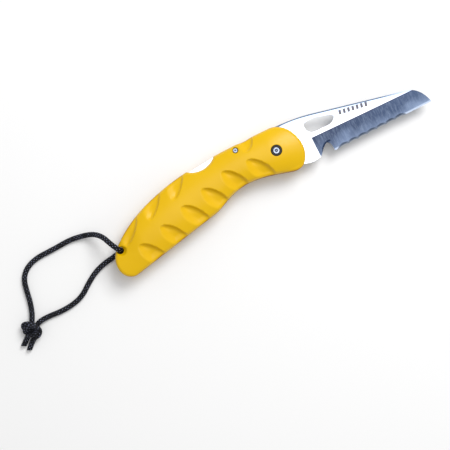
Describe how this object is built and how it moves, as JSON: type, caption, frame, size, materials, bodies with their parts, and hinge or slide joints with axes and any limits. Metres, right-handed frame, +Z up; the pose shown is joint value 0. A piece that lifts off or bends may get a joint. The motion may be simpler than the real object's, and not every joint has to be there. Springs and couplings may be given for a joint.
{
  "type": "rigging knife",
  "caption": "Folding rigging knife, blade open: scalloped sheepsfoot blade with shackle slot and window, back lock, grooved yellow handle, and braided lanyard with a knotted end.",
  "frame": {"origin": "bottom centre of the knife without its lanyard, on the surface that the knife lies on", "axes": "+X from the butt to the blade's tip, +Y from the belly to the back, +Z up through the front handle scale"},
  "size_m": [0.2445, 0.0466, 0.0169],
  "materials": {
    "scale_plastic": "satin moulded yellow",
    "liner_steel": "brushed",
    "spacer_plastic": "moulded black",
    "blade_steel": "polished flats and ground bevels",
    "lock_steel": "polished back",
    "spring_steel": "tempered",
    "fastener_steel": "turned",
    "black_collar": "black oxide",
    "washer_bronze": "phosphor bronze",
    "insert_brass": "knurled brass",
    "lanyard_cord": "braided black nylon"
  },
  "bodies": {
    "handle": {"front_scale": "scale_plastic", "rear_scale": "scale_plastic", "front_liner": "liner_steel", "rear_liner": "liner_steel", "back_spacer": "spacer_plastic", "pivot_barrel": "fastener_steel", "lock_barrel": "fastener_steel", "spring_pin": "fastener_steel", "pivot_collar_front": "black_collar", "pivot_collar_rear": "black_collar", "pivot_washer_front": "washer_bronze", "pivot_washer_rear": "washer_bronze", "pivot_screw_front": "fastener_steel", "pivot_screw_rear": "fastener_steel", "lock_screw_front": "fastener_steel", "lock_screw_rear": "fastener_steel", "scale_screws": "fastener_steel", "threaded_inserts": "insert_brass", "lanyard_upper_leg": "lanyard_cord", "lanyard_lower_leg": "lanyard_cord", "lanyard_knot": "lanyard_cord", "lanyard_tail_a": "lanyard_cord", "lanyard_tail_b": "lanyard_cord"},
    "blade": {"blade": "blade_steel"},
    "lock_bar": {"lock_bar": "lock_steel"},
    "lock_spring": {"lock_spring": "spring_steel"}
  },
  "joints": [
    {"name": "blade_fold", "type": "hinge", "parent": "handle", "child": "blade", "pos_m": [0.0079, 0.0061, 0.0083], "axis": [0, 0, 1], "range_deg": [-158, 0]},
    {"name": "lock_rock", "type": "hinge", "parent": "handle", "child": "lock_bar", "pos_m": [-0.0105, 0.0156, 0.0083], "axis": [0, 0, 1], "range_deg": [-3.2, 1.5], "stiffness_Nm_per_rad": 0.3, "springref_deg": -3.2},
    {"name": "spring_flex", "type": "hinge", "parent": "handle", "child": "lock_spring", "pos_m": [-0.0621, 0.0046, 0.0083], "axis": [0, 0, 1], "range_deg": [-2, 4]}
  ],
  "couplings": [
    {"joint": "spring_flex", "follows": "lock_rock", "ratio": -1.09}
  ]
}
